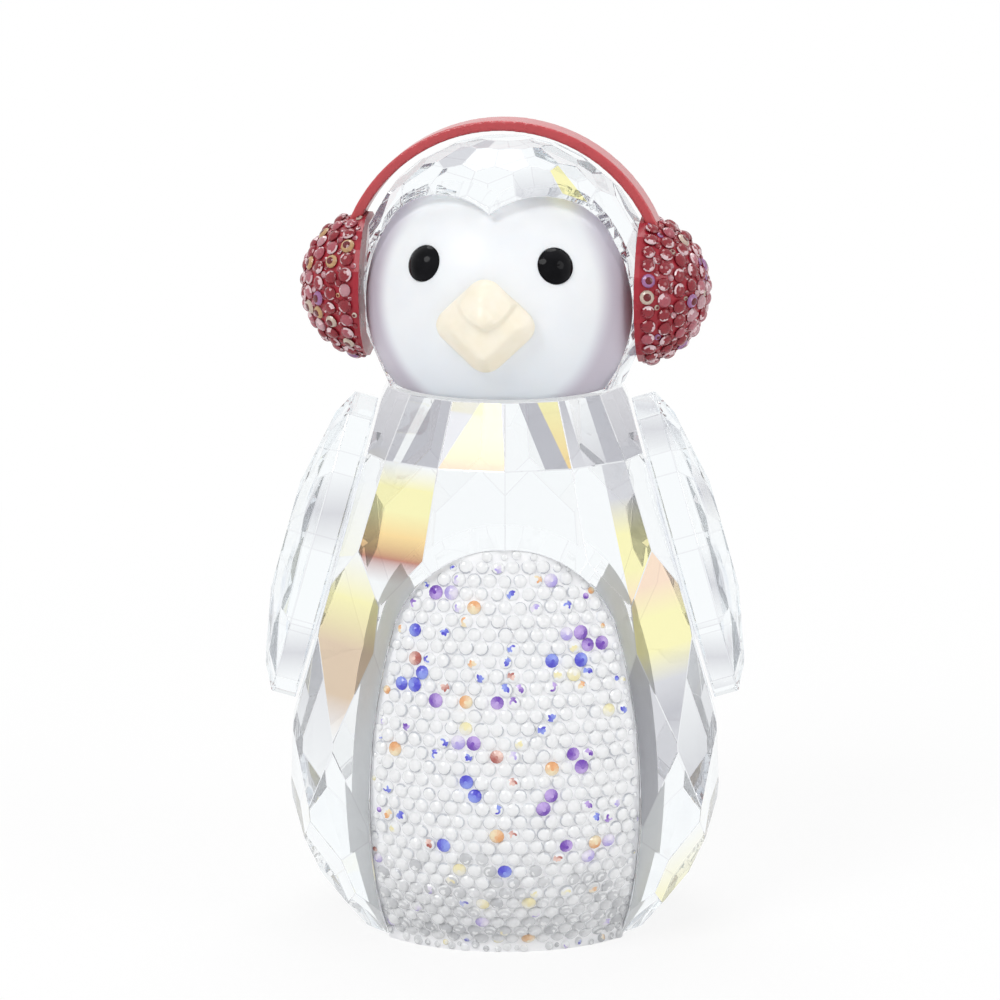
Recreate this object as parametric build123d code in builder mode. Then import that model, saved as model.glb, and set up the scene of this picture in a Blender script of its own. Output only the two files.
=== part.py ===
"""Faceted crystal penguin ornament that wears earmuffs.

Millimetres, +Z up. The penguin looks along -Y and the origin is the centre of its flat base.
Left and right are the penguin's own, so its left side is at +X.
Clear pieces are cut as gems are: a blank first, then one plane for each facet.
All pieces are bonded, so each seat leaves room for a thin film or a small clearance.
"""

import math
import os

from build123d import *

# Clearance round inlaid pieces, and thickness of the bonding films
FIT = 0.04
BOND = 0.15

# Body crystal: a smooth egg outline of two arcs that meet at the girdle, which its facets touch
BASE_RADIUS = 10.6
GIRDLE_RADIUS = 15.3
GIRDLE_HEIGHT = 11.5
NECK_RADIUS = 8.3
BODY_HEIGHT = 39.1
BODY_FACETS = 14
# Each row of facets: share of the outline's length, and turn in facet steps
BODY_ROWS = ((0.03, 0.5), (0.14, 0.0), (0.27, 0.5), (0.4, 0.0), (0.55, 0.5), (0.81, 0.0), (0.95, 0.0))

# Arched pocket in the front of the body
ARCH_FOOT = 8.3
ARCH_HALF_WIDTH = 9.5
ARCH_WIDEST = 12.0
ARCH_SPRING = 7.8
ARCH_SPRING_HEIGHT = 23.6
ARCH_TOP = 29.5
POCKET_FLOOR = 6.0
PAD_INSET = 0.35
PAD_BANDS = 7

# Cut stones: flat backed, with slopes that meet in a point
STONE_RADIUS = 0.52
STONE_HEIGHT = 0.5
STONE_SIDES = 6
STONE_PITCH = 1.08
STONE_LIFT = 0.01
STONE_MARGIN = 0.02

# Head crystal: a ball above the cheeks and an arc down to the chin, measured from its underside
HEAD_TURN = -7.5
CHIN_RADIUS = 8.3
CHEEK_RADIUS = 10.15
CHEEK_HEIGHT = 7.4
CROWN_RADIUS = 1.8
HEAD_FACETS = 14
HEAD_ROWS = ((0.06, 0.5), (0.24, 0.0), (0.42, 0.5), (0.6, 0.0), (0.75, 0.5), (0.87, 0.0), (0.98, 0.5))

# Heart-shaped face: part of a ball that lies deeper under the brow, with heights above the head's underside
FACE_BALL_RADIUS = 10.1
FACE_BALL_HEIGHT = 6.2
FACE_SEAT = 2.9
FACE_NOTCH_HEIGHT = 13.1
FACE_LOBE_HALF = 3.7
FACE_LOBE_HEIGHT = 14.2
FACE_TEMPLE_HALF = 7.6
FACE_TEMPLE_HEIGHT = 12.1
FACE_TEMPLE_ROUND = 3.0
FACE_HALF_WIDTH = 9.5
FACE_WIDEST = 6.7
FACE_FOOT = 7.5

# Eyes
EYE_RADIUS = 1.28
EYE_HEIGHT = 9.6
EYE_AZIMUTH = 29.2
EYE_SINK = 0.45
EYE_DOME = 0.55

# Beak: a diamond with blunted corners, a low lower bill and an upper bill that points out over it
BEAK_HALF_WIDTH = 3.75
BEAK_HALF_HEIGHT = 3.55
BEAK_HEIGHT = 5.6
BEAK_CORNERS = (0.7, 0.3)
BEAK_SINK = 0.9
BEAK_EDGE = 1.3
LOWER_BILL_DEPTH = 1.2
LOWER_BILL_SLOPE = 42.0
# Corners of the upper bill across the diamond, and how far its tip stands out
UPPER_BILL_TOP = 2.8
UPPER_BILL_HALF_WIDTH = 1.9
UPPER_BILL_SIDE_RISE = 1.0
UPPER_BILL_FOOT_DROP = 0.7
UPPER_BILL_TIP_RISE = 0.45
UPPER_BILL_REACH = 2.4

# Wings: half an ellipsoid ground flat all over, set on a flat of the body a drop below the neck
WING_DROP = 11.9
WING_LAND = 1.2
WING_HALF_WIDTH = 4.5
WING_HALF_LENGTH = 10.9
WING_DEPTH = 2.6
WING_GIRDLE = 1.2
WING_FLARE = 6.0
WING_FACETS = 12
# Each row of wing facets: latitude on the ellipsoid, and turn in facet steps
WING_ROWS = ((0.0, 0.5), (24.0, 0.5), (50.0, 0.0))
WING_BOND_HALF_WIDTH = 2.4
WING_BOND_HALF_LENGTH = 7.0

# Earmuffs and headband: the muffs sit on the axis of the band's arc
MUFF_BACK = 9.75
MUFF_RADIUS = 5.2
MUFF_RIM = 0.35
MUFF_DOME = 4.35
MUFF_SIDES = 20
MUFF_STEPS = 6
MUFF_STONE_PITCH = 1.07
MUFF_BOND_RADIUS = 2.3
BAND_RADIUS = 12.0
BAND_THICKNESS = 0.75
BAND_WIDTH = 2.6
BAND_END = 12.0
BAND_CLEARANCE = 0.6

# Neck bond
NECK_BOND_RADIUS = 6.5

head_base = BODY_HEIGHT + BOND
head_top = head_base + CHEEK_HEIGHT + math.sqrt(CHEEK_RADIUS**2 - CROWN_RADIUS**2)
band_inner = BAND_RADIUS - BAND_THICKNESS
muff_height = head_top + BAND_CLEARANCE - band_inner
muff_seat = MUFF_BACK - BOND
reach = 2 * (GIRDLE_RADIUS + BODY_HEIGHT)


def share_at(outline, height):
    """Share of a rising outline's length at which it reaches a height."""
    low, high = 0.0, 1.0
    while high - low > 1e-6:
        middle = (low + high) / 2
        if (outline @ middle).Z < height:
            low = middle
        else:
            high = middle
    return low


def tangent_plane(outline, share, azimuth, inset=0.0):
    """Plane that touches the revolved outline, facing outward, at an azimuth from +X."""
    point = outline @ share
    slope = outline % share
    normal = Vector(slope.Z, 0, -slope.X)
    origin = Vector(point.X, 0, point.Z) - normal * inset
    side = Vector(0, 1, 0)
    return Plane(
        origin=origin.rotate(Axis.Z, azimuth),
        x_dir=side.rotate(Axis.Z, azimuth),
        z_dir=normal.rotate(Axis.Z, azimuth),
    )


def facet_planes(outline, rows, count):
    """One ring of planes for each row, all touching the revolved outline."""
    return [
        tangent_plane(outline, share, (index + turn) * 360 / count)
        for share, turn in rows
        for index in range(count)
    ]


def grind(planes):
    """Take off what lies outside each plane."""
    for plane in planes:
        split(bisect_by=plane, keep=Keep.BOTTOM)


def cap_arc(rim, top, radius, height):
    """Arc of a ball from the rim of a cap to its top; a negative height bends it the other way."""
    return RadiusArc(rim, top, (radius**2 + height**2) / (2 * height))


def mirrored(plane):
    """The same plane on the other side of the penguin."""
    return Plane(
        origin=(-plane.origin.X, plane.origin.Y, plane.origin.Z),
        z_dir=(-plane.z_dir.X, plane.z_dir.Y, plane.z_dir.Z),
    )


def upright_arc(start, end, upright):
    """Arc between two points of an outline that runs upright at the one named, bulging outward."""
    across = abs(start[0] - end[0])
    along = abs(start[1] - end[1])
    radius = (across**2 + along**2) / (2 * across)
    centre = upright[0] - radius
    middle = (start[1] + end[1]) / 2
    return ThreePointArc(start, (centre + math.sqrt(radius**2 - (middle - upright[1]) ** 2), middle), end)


def body_curve(inset):
    """Outline of the body in its own plane, set in by a distance."""
    girdle = (GIRDLE_RADIUS - inset, GIRDLE_HEIGHT)
    upright_arc((BASE_RADIUS - inset, 0), girdle, girdle)
    upright_arc(girdle, (NECK_RADIUS - inset, BODY_HEIGHT), girdle)


def head_curve():
    """Outline of the head in its own plane."""
    cheek = (CHEEK_RADIUS, head_base + CHEEK_HEIGHT)
    upright_arc((CHIN_RADIUS, head_base), cheek, cheek)
    upright_arc(cheek, (CROWN_RADIUS, head_top), cheek)


# Outlines that the facets, the face and the belly share
with BuildLine(Plane.XZ) as body_line:
    body_curve(0)
body_outline = body_line.wire()

with BuildLine(Plane.XZ) as pad_line:
    body_curve(PAD_INSET)
pad_outline = pad_line.wire()

with BuildLine(Plane.XZ) as head_line:
    head_curve()
head_outline = head_line.wire()

with BuildLine(Plane.XZ) as face_line:
    CenterArc((0, head_base + FACE_BALL_HEIGHT), FACE_BALL_RADIUS, -90, 180)
face_outline = face_line.wire()

# Flat on the body for the left wing, and the plane of the wing's back one bond further out
wing_share = share_at(body_outline, BODY_HEIGHT - WING_DROP)
wing_land = tangent_plane(body_outline, wing_share, 0, WING_LAND)
wing_back = wing_land.offset(BOND)

# Arch of the belly pocket, drawn on the pocket's flat floor and run out past the base
with BuildSketch(Plane.XZ.offset(POCKET_FLOOR)) as arch:
    with BuildLine():
        foot = Line((ARCH_FOOT, -BASE_RADIUS), (ARCH_FOOT, 0))
        flank = ThreePointArc(
            foot @ 1, (ARCH_HALF_WIDTH, ARCH_WIDEST), (ARCH_SPRING, ARCH_SPRING_HEIGHT)
        )
        ThreePointArc(flank @ 1, (0, ARCH_TOP), (-ARCH_SPRING, ARCH_SPRING_HEIGHT))
        ThreePointArc(
            (-ARCH_SPRING, ARCH_SPRING_HEIGHT), (-ARCH_HALF_WIDTH, ARCH_WIDEST), (-ARCH_FOOT, 0)
        )
        Polyline((-ARCH_FOOT, 0), (-ARCH_FOOT, -BASE_RADIUS), foot @ 0)
    make_face()

with BuildSketch(Plane.XZ.offset(POCKET_FLOOR)) as pad_arch:
    add(arch.sketch)
    offset(amount=-FIT)

with BuildSketch(Plane.XZ.offset(POCKET_FLOOR)) as stone_arch:
    add(arch.sketch)
    offset(amount=-(FIT + STONE_RADIUS + STONE_MARGIN))

# Body crystal
with BuildPart() as body_crystal:
    Cylinder(2 * GIRDLE_RADIUS, BODY_HEIGHT, align=(Align.CENTER, Align.CENTER, Align.MIN))
    grind(facet_planes(body_outline, BODY_ROWS, BODY_FACETS))
    grind((wing_land, mirrored(wing_land)))
    extrude(arch.sketch, amount=reach, mode=Mode.SUBTRACT)

# Bed that fills the pocket out to just below the facets, turned in short cones
pad_rims = [pad_outline @ (band / PAD_BANDS) for band in range(PAD_BANDS + 1)]
with BuildPart() as belly_pad:
    with BuildSketch(Plane.XZ):
        with BuildLine():
            Polyline((0, 0), *[(rim.X, rim.Z) for rim in pad_rims], (0, BODY_HEIGHT), close=True)
        make_face()
    revolve(axis=Axis.Z)
    extrude(pad_arch.sketch, amount=reach, mode=Mode.INTERSECT)

# One flat-backed stone
stone_apothem = STONE_RADIUS * math.cos(math.pi / STONE_SIDES)
with BuildPart() as stone:
    with BuildSketch():
        RegularPolygon(radius=STONE_RADIUS, side_count=STONE_SIDES)
    extrude(amount=2 * STONE_HEIGHT)
    for side in range(STONE_SIDES):
        heading = Vector(1, 0, 0).rotate(Axis.Z, (side + 0.5) * 360 / STONE_SIDES)
        facing = heading * STONE_HEIGHT + Vector(0, 0, stone_apothem)
        grind((Plane(origin=heading * stone_apothem, z_dir=facing),))

# Belly stones in staggered rows across the bed
belly_places = []
stone_field = stone_arch.sketch.face()
row_step = STONE_PITCH * math.sqrt(3) / 2
row_count = int(pad_outline.length / row_step)
for row in range(row_count):
    row_share = (row + 0.5) / row_count
    row_radius = (pad_outline @ row_share).X
    half_count = int(ARCH_HALF_WIDTH * math.pi / 2 / STONE_PITCH)
    for column in range(-half_count, half_count + 1):
        swing = math.degrees((column + row % 2 / 2) * STONE_PITCH / row_radius)
        place = tangent_plane(pad_outline, row_share, swing - 90, -STONE_LIFT)
        in_arch = stone_field.is_inside(Vector(place.origin.X, -POCKET_FLOOR, place.origin.Z))
        lowest = place.origin.Z - STONE_RADIUS * math.hypot(place.x_dir.Z, place.y_dir.Z)
        backed = -place.origin.Y > POCKET_FLOOR + STONE_RADIUS
        if in_arch and backed and lowest > STONE_MARGIN:
            belly_places.append(place)

with BuildPart() as belly_stones:
    with Locations(*belly_places):
        add(stone.part)

# Heart outline of the face, drawn on its flat seat
with BuildSketch(Plane.XZ.offset(FACE_SEAT)) as heart:
    with BuildLine():
        lobe = ThreePointArc(
            (0, head_base + FACE_NOTCH_HEIGHT),
            (FACE_LOBE_HALF, head_base + FACE_LOBE_HEIGHT),
            (FACE_TEMPLE_HALF, head_base + FACE_TEMPLE_HEIGHT),
        )
        cheek = ThreePointArc(lobe @ 1, (FACE_HALF_WIDTH, head_base + FACE_WIDEST), (FACE_FOOT, head_base))
        Polyline(cheek @ 1, (FACE_FOOT, head_base - FACE_FOOT), (0, head_base - FACE_FOOT))
        mirror(about=Plane.YZ)
    make_face()
    temples = [v for v in heart.vertices() if abs(abs(v.X) - FACE_TEMPLE_HALF) < FIT]
    fillet(temples, radius=FACE_TEMPLE_ROUND)

with BuildSketch(Plane.XZ.offset(FACE_SEAT)) as face_heart:
    add(heart.sketch)
    offset(amount=-FIT)

# Beak diamond, drawn on the flat bottom of its seat in the face
beak_height = head_base + BEAK_HEIGHT
beak_seat = (face_outline @ share_at(face_outline, beak_height)).X - BEAK_SINK
with BuildSketch(Plane.XZ.offset(beak_seat)) as diamond:
    with Locations((0, beak_height)):
        Polygon(
            (-BEAK_HALF_WIDTH, 0),
            (0, -BEAK_HALF_HEIGHT),
            (BEAK_HALF_WIDTH, 0),
            (0, BEAK_HALF_HEIGHT),
            align=None,
        )
    for blunt in BEAK_CORNERS:
        chamfer(diamond.vertices(), length=blunt)

with BuildSketch(Plane.XZ.offset(beak_seat)) as beak_hole:
    add(diamond.sketch)
    offset(amount=FIT)

# Left eye seat: its plane touches the smooth face
eye_share = share_at(face_outline, head_base + EYE_HEIGHT)
left_eye_plane = tangent_plane(face_outline, eye_share, EYE_AZIMUTH - 90)
right_eye_plane = tangent_plane(face_outline, eye_share, -EYE_AZIMUTH - 90)

# Head crystal with flats for the earmuffs and a flat-bottomed recess for the face
muff_plane = Plane(origin=(muff_seat, 0, muff_height), x_dir=(0, 1, 0), z_dir=(1, 0, 0))
with BuildPart() as head_crystal:
    with BuildSketch(Plane.XY.offset(head_base)):
        Circle(2 * CHEEK_RADIUS)
    extrude(amount=head_top - head_base)
    grind(facet_planes(head_outline, HEAD_ROWS, HEAD_FACETS))
    grind((muff_plane, mirrored(muff_plane)))
    extrude(heart.sketch, amount=reach, mode=Mode.SUBTRACT)

# Satin face, with a drilled seat for each eye and a sunk seat for the beak
with BuildPart() as face_plate:
    with Locations((0, 0, head_base + FACE_BALL_HEIGHT)):
        Sphere(FACE_BALL_RADIUS)
    split(bisect_by=Plane.XY.offset(head_base), keep=Keep.TOP)
    extrude(face_heart.sketch, amount=reach, mode=Mode.INTERSECT)
    for eye_plane in (left_eye_plane, right_eye_plane):
        with BuildSketch(eye_plane.offset(-EYE_SINK)):
            Circle(EYE_RADIUS + FIT)
        extrude(amount=CHEEK_RADIUS, mode=Mode.SUBTRACT)
    extrude(beak_hole.sketch, amount=reach, mode=Mode.SUBTRACT)

# Eyes: low domes on a short shank
eye_section = Plane(
    origin=left_eye_plane.origin, x_dir=left_eye_plane.x_dir, z_dir=-left_eye_plane.y_dir
)
with BuildPart() as left_eye:
    with BuildSketch(eye_section):
        with BuildLine():
            Polyline((0, EYE_DOME), (0, -EYE_SINK), (EYE_RADIUS, -EYE_SINK), (EYE_RADIUS, 0))
            cap_arc((EYE_RADIUS, 0), (0, EYE_DOME), EYE_RADIUS, -EYE_DOME)
        make_face()
    revolve(axis=Axis(left_eye_plane.origin, left_eye_plane.z_dir))

with BuildPart() as right_eye:
    mirror(left_eye.part, about=Plane.YZ)

# Upper bill: a kite on the front of the diamond, with slopes that meet at its tip
bill_front = Plane(origin=(0, -beak_seat - BEAK_EDGE, beak_height), x_dir=(1, 0, 0), z_dir=(0, -1, 0))
kite = (
    (0, UPPER_BILL_TOP),
    (-UPPER_BILL_HALF_WIDTH, UPPER_BILL_SIDE_RISE),
    (0, -UPPER_BILL_FOOT_DROP),
    (UPPER_BILL_HALF_WIDTH, UPPER_BILL_SIDE_RISE),
)
bill_tip = bill_front.from_local_coords((0, UPPER_BILL_TIP_RISE, UPPER_BILL_REACH))
with BuildPart() as upper_bill:
    with BuildSketch(bill_front):
        Polygon(*kite, align=None)
    extrude(amount=UPPER_BILL_REACH)
    for corner, following in zip(kite, kite[1:] + kite[:1]):
        first = bill_front.from_local_coords(corner)
        second = bill_front.from_local_coords(following)
        grind((Plane(origin=first, z_dir=(second - first).cross(bill_tip - first)),))

# Beak: the diamond shank with the lower bill's slopes, and the upper bill on it
with BuildPart() as beak:
    extrude(diamond.sketch, amount=BEAK_EDGE + LOWER_BILL_DEPTH)
    for edge in diamond.sketch.edges():
        along = edge % 0.5
        outward = along.cross(bill_front.z_dir)
        if outward.dot(edge @ 0.5 - diamond.sketch.center()) < 0:
            outward = -outward
        lean = math.radians(LOWER_BILL_SLOPE)
        shoulder = edge @ 0.5 + bill_front.z_dir * BEAK_EDGE
        grind((Plane(origin=shoulder, z_dir=outward * math.cos(lean) + bill_front.z_dir * math.sin(lean)),))
    add(upper_bill.part)

# Left wing: ellipsoid facets on a plane that flares from the back plane towards the tip
flare_plane = wing_back.offset(WING_GIRDLE).rotated((-WING_FLARE, 0, 0))


def wing_facet(latitude, longitude):
    """Plane that touches the wing's ellipsoid."""
    across = math.cos(math.radians(latitude)) * math.cos(math.radians(longitude))
    along = math.cos(math.radians(latitude)) * math.sin(math.radians(longitude))
    out = math.sin(math.radians(latitude))
    point = Vector(WING_HALF_WIDTH * across, WING_HALF_LENGTH * along, WING_DEPTH * out)
    normal = Vector(across / WING_HALF_WIDTH, along / WING_HALF_LENGTH, out / WING_DEPTH)
    origin = flare_plane.from_local_coords(point)
    return Plane(origin=origin, z_dir=flare_plane.from_local_coords(point + normal) - origin)


with BuildPart() as left_wing:
    with BuildSketch(wing_back):
        Rectangle(4 * WING_HALF_WIDTH, 4 * WING_HALF_LENGTH)
    extrude(amount=2 * (WING_GIRDLE + WING_DEPTH))
    for latitude, turn in WING_ROWS:
        grind([wing_facet(latitude, (index + turn) * 360 / WING_FACETS) for index in range(WING_FACETS)])
    grind((flare_plane.offset(WING_DEPTH),))

with BuildPart() as right_wing:
    mirror(left_wing.part, about=Plane.YZ)

# Films between the wings and the body, and between the head and the body, with a corner for each facet
wing_film = []
for index in range(WING_FACETS):
    angle = math.radians(index * 360 / WING_FACETS)
    wing_film.append((WING_BOND_HALF_WIDTH * math.cos(angle), WING_BOND_HALF_LENGTH * math.sin(angle)))

with BuildPart() as left_wing_bond:
    with BuildSketch(wing_land):
        Polygon(*wing_film, align=None)
    extrude(amount=BOND)

with BuildPart() as right_wing_bond:
    mirror(left_wing_bond.part, about=Plane.YZ)

with BuildPart() as neck_bond:
    with BuildSketch(Plane.XY.offset(BODY_HEIGHT)):
        RegularPolygon(radius=NECK_BOND_RADIUS, side_count=BODY_FACETS)
    extrude(amount=BOND)


def band_strip(clearance):
    """Bent strip of the headband, grown by a clearance on every side."""
    start = BAND_END - math.degrees(clearance / BAND_RADIUS)
    span = 180 - 2 * start
    with BuildSketch(Plane.XZ.offset(-BAND_WIDTH / 2 - clearance)) as strip:
        with BuildLine():
            outer = CenterArc((0, muff_height), BAND_RADIUS + clearance, start, span)
            inner = CenterArc((0, muff_height), band_inner - clearance, start, span)
            Line(outer @ 0, inner @ 0)
            Line(outer @ 1, inner @ 1)
        make_face()
    return strip.sketch


with BuildPart() as headband:
    extrude(band_strip(0), amount=BAND_WIDTH)

# Left earmuff: a dome in flat steps, with a flat back and a slot for the end of the headband
rim_edge = MUFF_BACK + MUFF_RIM
dome_rim = (rim_edge, muff_height + MUFF_RADIUS)
dome_top = (rim_edge + MUFF_DOME, muff_height)
with BuildLine(Plane.XZ) as dome_line:
    cap_arc(dome_rim, dome_top, MUFF_RADIUS, MUFF_DOME)
dome_outline = dome_line.edge()


def muff_planes():
    """Ring of planes for each step of the dome, so that the corners between them lie on its outline."""
    flatten = math.cos(math.pi / MUFF_SIDES)
    planes = []
    for step in range(MUFF_STEPS):
        low = dome_outline @ (step / MUFF_STEPS)
        high = dome_outline @ ((step + 1) / MUFF_STEPS)
        origin = Vector(low.X, 0, (low.Z - muff_height) * flatten)
        normal = Vector((low.Z - high.Z) * flatten, 0, high.X - low.X)
        for side in range(MUFF_SIDES):
            spin = (side + 0.5) * 360 / MUFF_SIDES
            place = origin.rotate(Axis.X, spin) + Vector(0, 0, muff_height)
            planes.append(Plane(origin=place, z_dir=normal.rotate(Axis.X, spin)))
    return planes


with BuildPart() as left_muff:
    with BuildSketch(muff_plane.offset(BOND)):
        RegularPolygon(radius=MUFF_RADIUS, side_count=MUFF_SIDES)
    extrude(amount=MUFF_RIM + MUFF_DOME)
    grind(muff_planes())
    extrude(band_strip(FIT), amount=BAND_WIDTH + 2 * FIT, mode=Mode.SUBTRACT)

with BuildPart() as right_muff:
    mirror(left_muff.part, about=Plane.YZ)

# Muff stones in rings from the rim to the top of the dome
muff_places = []
ring_count = int(dome_outline.length / MUFF_STONE_PITCH)
for ring in range(ring_count):
    ring_share = (ring + 0.5) / ring_count
    point = dome_outline @ ring_share
    slope = dome_outline % ring_share
    normal = Vector(-slope.Z, 0, slope.X)
    ring_radius = point.Z - muff_height
    ring_stones = max(1, int(2 * math.pi * ring_radius / MUFF_STONE_PITCH))
    for index in range(ring_stones):
        spin = (index + ring % 2 / 2) * 360 / ring_stones
        spot = (Vector(point.X, 0, ring_radius) + normal * STONE_LIFT).rotate(Axis.X, spin)
        beside_band = abs(spot.Y) > BAND_WIDTH / 2 + STONE_RADIUS + STONE_MARGIN
        beyond_band = math.hypot(spot.X, spot.Z) > BAND_RADIUS + STONE_RADIUS + STONE_MARGIN
        if beside_band or beyond_band or spot.Z < 0:
            muff_places.append(
                Plane(
                    origin=spot + Vector(0, 0, muff_height),
                    x_dir=slope.rotate(Axis.X, spin),
                    z_dir=normal.rotate(Axis.X, spin),
                )
            )

with BuildPart() as left_muff_stones:
    with Locations(*muff_places):
        add(stone.part)

with BuildPart() as right_muff_stones:
    mirror(left_muff_stones.part, about=Plane.YZ)

with BuildPart() as left_muff_bond:
    with BuildSketch(muff_plane):
        RegularPolygon(radius=MUFF_BOND_RADIUS, side_count=MUFF_SIDES)
    extrude(amount=BOND)

with BuildPart() as right_muff_bond:
    mirror(left_muff_bond.part, about=Plane.YZ)

# Pieces of the body stay as drawn; pieces of the head are turned a little to the penguin's right
body_pieces = {
    "body_crystal": body_crystal,
    "belly_pad": belly_pad,
    "belly_stones": belly_stones,
    "left_wing": left_wing,
    "right_wing": right_wing,
    "left_wing_bond": left_wing_bond,
    "right_wing_bond": right_wing_bond,
    "neck_bond": neck_bond,
}
head_pieces = {
    "head_crystal": head_crystal,
    "face_plate": face_plate,
    "left_eye": left_eye,
    "right_eye": right_eye,
    "beak": beak,
    "headband": headband,
    "left_muff": left_muff,
    "right_muff": right_muff,
    "left_muff_stones": left_muff_stones,
    "right_muff_stones": right_muff_stones,
    "left_muff_bond": left_muff_bond,
    "right_muff_bond": right_muff_bond,
}

os.makedirs("parts", exist_ok=True)
for label, piece in body_pieces.items():
    piece.part.label = label
    export_step(piece.part, f"parts/{label}.step")
for label, piece in head_pieces.items():
    turned = piece.part.rotate(Axis.Z, HEAD_TURN)
    turned.label = label
    export_step(turned, f"parts/{label}.step")
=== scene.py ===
"""Looks of the crystal penguin ornament: cut glass, set stones, satin face and red earmuffs.

Metres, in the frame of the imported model: +Z up, the penguin looks along -Y.
"""

import itertools
import math
import random

import bmesh
import bpy
from mathutils import Matrix, Vector
from mathutils.bvhtree import BVHTree
from mathutils.kdtree import KDTree


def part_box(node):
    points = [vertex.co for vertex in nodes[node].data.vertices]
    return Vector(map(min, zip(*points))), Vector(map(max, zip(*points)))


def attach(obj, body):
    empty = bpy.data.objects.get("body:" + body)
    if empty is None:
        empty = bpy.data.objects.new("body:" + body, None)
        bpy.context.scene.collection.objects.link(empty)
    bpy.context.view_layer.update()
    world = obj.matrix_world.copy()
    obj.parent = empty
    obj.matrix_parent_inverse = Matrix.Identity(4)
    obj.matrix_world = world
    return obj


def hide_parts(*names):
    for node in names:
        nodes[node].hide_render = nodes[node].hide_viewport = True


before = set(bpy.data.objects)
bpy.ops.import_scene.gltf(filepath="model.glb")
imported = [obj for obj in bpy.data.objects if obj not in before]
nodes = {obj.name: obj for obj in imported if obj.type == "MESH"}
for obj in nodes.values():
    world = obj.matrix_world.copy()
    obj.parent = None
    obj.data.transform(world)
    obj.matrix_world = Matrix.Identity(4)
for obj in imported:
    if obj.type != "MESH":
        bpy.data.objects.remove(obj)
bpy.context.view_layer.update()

MM = 0.001
ROOT = "root"
scene = bpy.context.scene

# Camera, as the photograph was taken
CAMERA_TARGET = Vector((0, 0, 29 * MM))
CAMERA_DISTANCE = 350 * MM
CAMERA_ELEVATION = math.radians(12)
CAMERA_LENS = 175.1
CAMERA_SHIFT = (-0.005, 0.0194)
CAMERA_SENSOR = 36.0
CAMERA_CLIP = 10 * MM
# Most passages of a light path, enough for facets behind facets
PATH_BOUNCES = 48
GLOSSY_BOUNCES = 24
TRANSPARENT_BOUNCES = 16

# Floor: the camera and the glass see it glow white, by this share near the object and far from it, changing
# between these distances. What is left of the share shows its shading, with the shadow
FLOOR_SIZE = 4.0
FLOOR_WHITE = (0.86, 1.0)
FLOOR_FADE = (30 * MM, 150 * MM)
FLOOR_GREY = 0.9
FLOOR_ROUGHNESS = 0.8
# Glass sees the front side greyer, as where a photographer stands. It turns white between these limits
# along Y
FRONT_GREY = 0.85
FLOOR_FRONT = (-40 * MM, 6 * MM)
WORLD_FRONT = (-0.9, -0.1)
WORLD_LIGHT = 0.42
# Lamps: name, place and width in metres, and power in watts
LAMPS = (
    ("key", (-0.35, -0.45, 0.55), 0.35, 2.4),
    ("fill", (0.5, -0.35, 0.3), 0.4, 1.05),
    ("top", (0.0, 0.25, 0.6), 0.4, 1.6),
)

# Facets of the cut glass
WELD = 1e-7
FLAT_ANGLE = math.radians(0.6)
SHARP_ANGLE = math.radians(4)
SAME_FACET = math.cos(math.radians(1.5))
EDGE_BREAK = 0.05 * MM
FACETS_AROUND = 14
NEAR_END = 0.25

# Colours in the facets. CLEAR is the glass's own faint tint; the greys are painted shade, standing in for
# darker surroundings and walls seen through the glass, and the warm colours are painted fire
CLEAR = (0.955, 0.985, 1.0)
PAINTED_LIGHT_GREY = (0.80, 0.81, 0.85)
PAINTED_MID_GREY = (0.50, 0.50, 0.55)
PAINTED_DARK_GREY = (0.30, 0.30, 0.35)
FIRE_STRAW = (1.0, 0.90, 0.26)
FIRE_AMBER = (1.0, 0.55, 0.12)
FIRE_TAN = (0.66, 0.24, 0.10)
FIRE_BROWN = (0.32, 0.06, 0.03)
FIRE_PEACH = (1.0, 0.60, 0.36)
FIRE_SAND = (0.62, 0.38, 0.20)
# Painted shade on the broken edges, for the thin grey lines along the edges of cut glass
PAINTED_EDGE_SHADE = (0.80, 0.81, 0.84)


def whole(*colours):
    """A facet with one row of colours, from its top to its foot."""
    return ((1, 1, colours),)


# Rows of facets, told by how far their flats lean back in degrees, and how closely a facet has to match
COLLAR = 26.4
SHOULDER = 20.7
FLANK = 10.0
HIP = 3.8
HOOD_TOP = 77.3
HOOD_UPPER = 63.8
HOOD_LOWER = 49.0
FACET_MATCH = 1.5
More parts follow.
